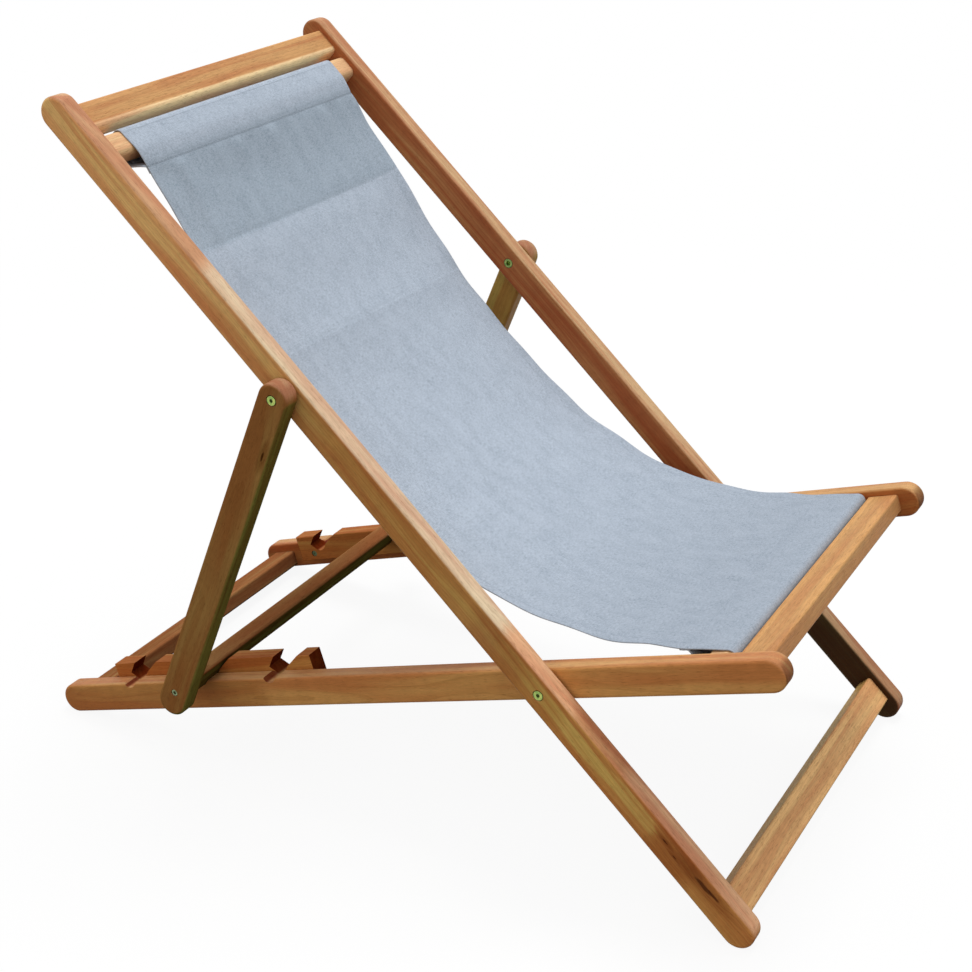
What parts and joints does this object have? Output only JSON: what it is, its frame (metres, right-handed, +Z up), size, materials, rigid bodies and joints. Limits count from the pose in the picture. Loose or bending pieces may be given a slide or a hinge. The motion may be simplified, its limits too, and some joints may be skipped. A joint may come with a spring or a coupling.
{
  "type": "reclining garden sling chair",
  "caption": "Folding wooden sling chair: nested seat, back and prop frames on pivots, a notched recline rest and a hanging cloth seat.",
  "frame": {"origin": "on the floor under the middle of the chair's overall box", "axes": "+X to the sitter's left, -Y to the front, +Z up"},
  "size_m": [0.588, 0.9746, 0.826],
  "materials": {
    "back_rail_wood": "oiled hardwood, satin",
    "seat_rail_wood": "oiled hardwood, satin",
    "prop_leg_wood": "oiled hardwood, satin",
    "notch_block_wood": "oiled hardwood, satin",
    "head_board_wood": "oiled hardwood, satin",
    "foot_board_wood": "oiled hardwood, satin",
    "front_board_wood": "oiled hardwood, satin",
    "rear_board_wood": "oiled hardwood, satin",
    "sling_bar_wood": "oiled hardwood, satin",
    "cross_bar_wood": "oiled hardwood, satin",
    "screw_steel": "yellow zinc plated",
    "pivot_steel": "yellow zinc plated",
    "washer_steel": "zinc plated",
    "sling_cloth": "plain woven canvas, matt"
  },
  "bodies": {
    "seat_frame": {"seat_rail_left": "seat_rail_wood", "seat_rail_right": "seat_rail_wood", "notch_block_left": "notch_block_wood", "notch_block_right": "notch_block_wood", "notch_block_screws_left": "screw_steel", "notch_block_screws_right": "screw_steel", "seat_pivot_sleeve_left": "pivot_steel", "seat_pivot_sleeve_right": "pivot_steel", "seat_pivot_bolt_left": "pivot_steel", "seat_pivot_bolt_right": "pivot_steel", "seat_pivot_washer_left": "washer_steel", "seat_pivot_washer_right": "washer_steel", "seat_front_board": "front_board_wood", "seat_rear_board": "rear_board_wood", "sling_bar_front": "sling_bar_wood", "sling": "sling_cloth"},
    "back_frame": {"back_rail_left": "back_rail_wood", "back_rail_right": "back_rail_wood", "prop_pivot_sleeve_left": "pivot_steel", "prop_pivot_sleeve_right": "pivot_steel", "prop_pivot_bolt_left": "pivot_steel", "prop_pivot_bolt_right": "pivot_steel", "prop_pivot_washer_left": "washer_steel", "prop_pivot_washer_right": "washer_steel", "head_board": "head_board_wood", "foot_board": "foot_board_wood", "sling_bar_top": "sling_bar_wood"},
    "prop_frame": {"prop_leg_left": "prop_leg_wood", "prop_leg_right": "prop_leg_wood", "prop_bar_screw_left": "screw_steel", "prop_bar_screw_right": "screw_steel", "prop_cross_bar": "cross_bar_wood"}
  },
  "joints": [
    {"name": "recline", "type": "hinge", "parent": "seat_frame", "child": "back_frame", "pos_m": [0, -0.2237, 0.2417], "axis": [1, 0, 0], "range_deg": [0, 105], "deforming": ["sling"]},
    {"name": "prop_swing", "type": "hinge", "parent": "back_frame", "child": "prop_frame", "pos_m": [0, 0.08511, 0.53224], "axis": [1, 0, 0], "range_deg": [-63, 0]}
  ],
  "couplings": [
    {"joint": "prop_swing", "follows": "recline", "ratio": -0.6}
  ]
}
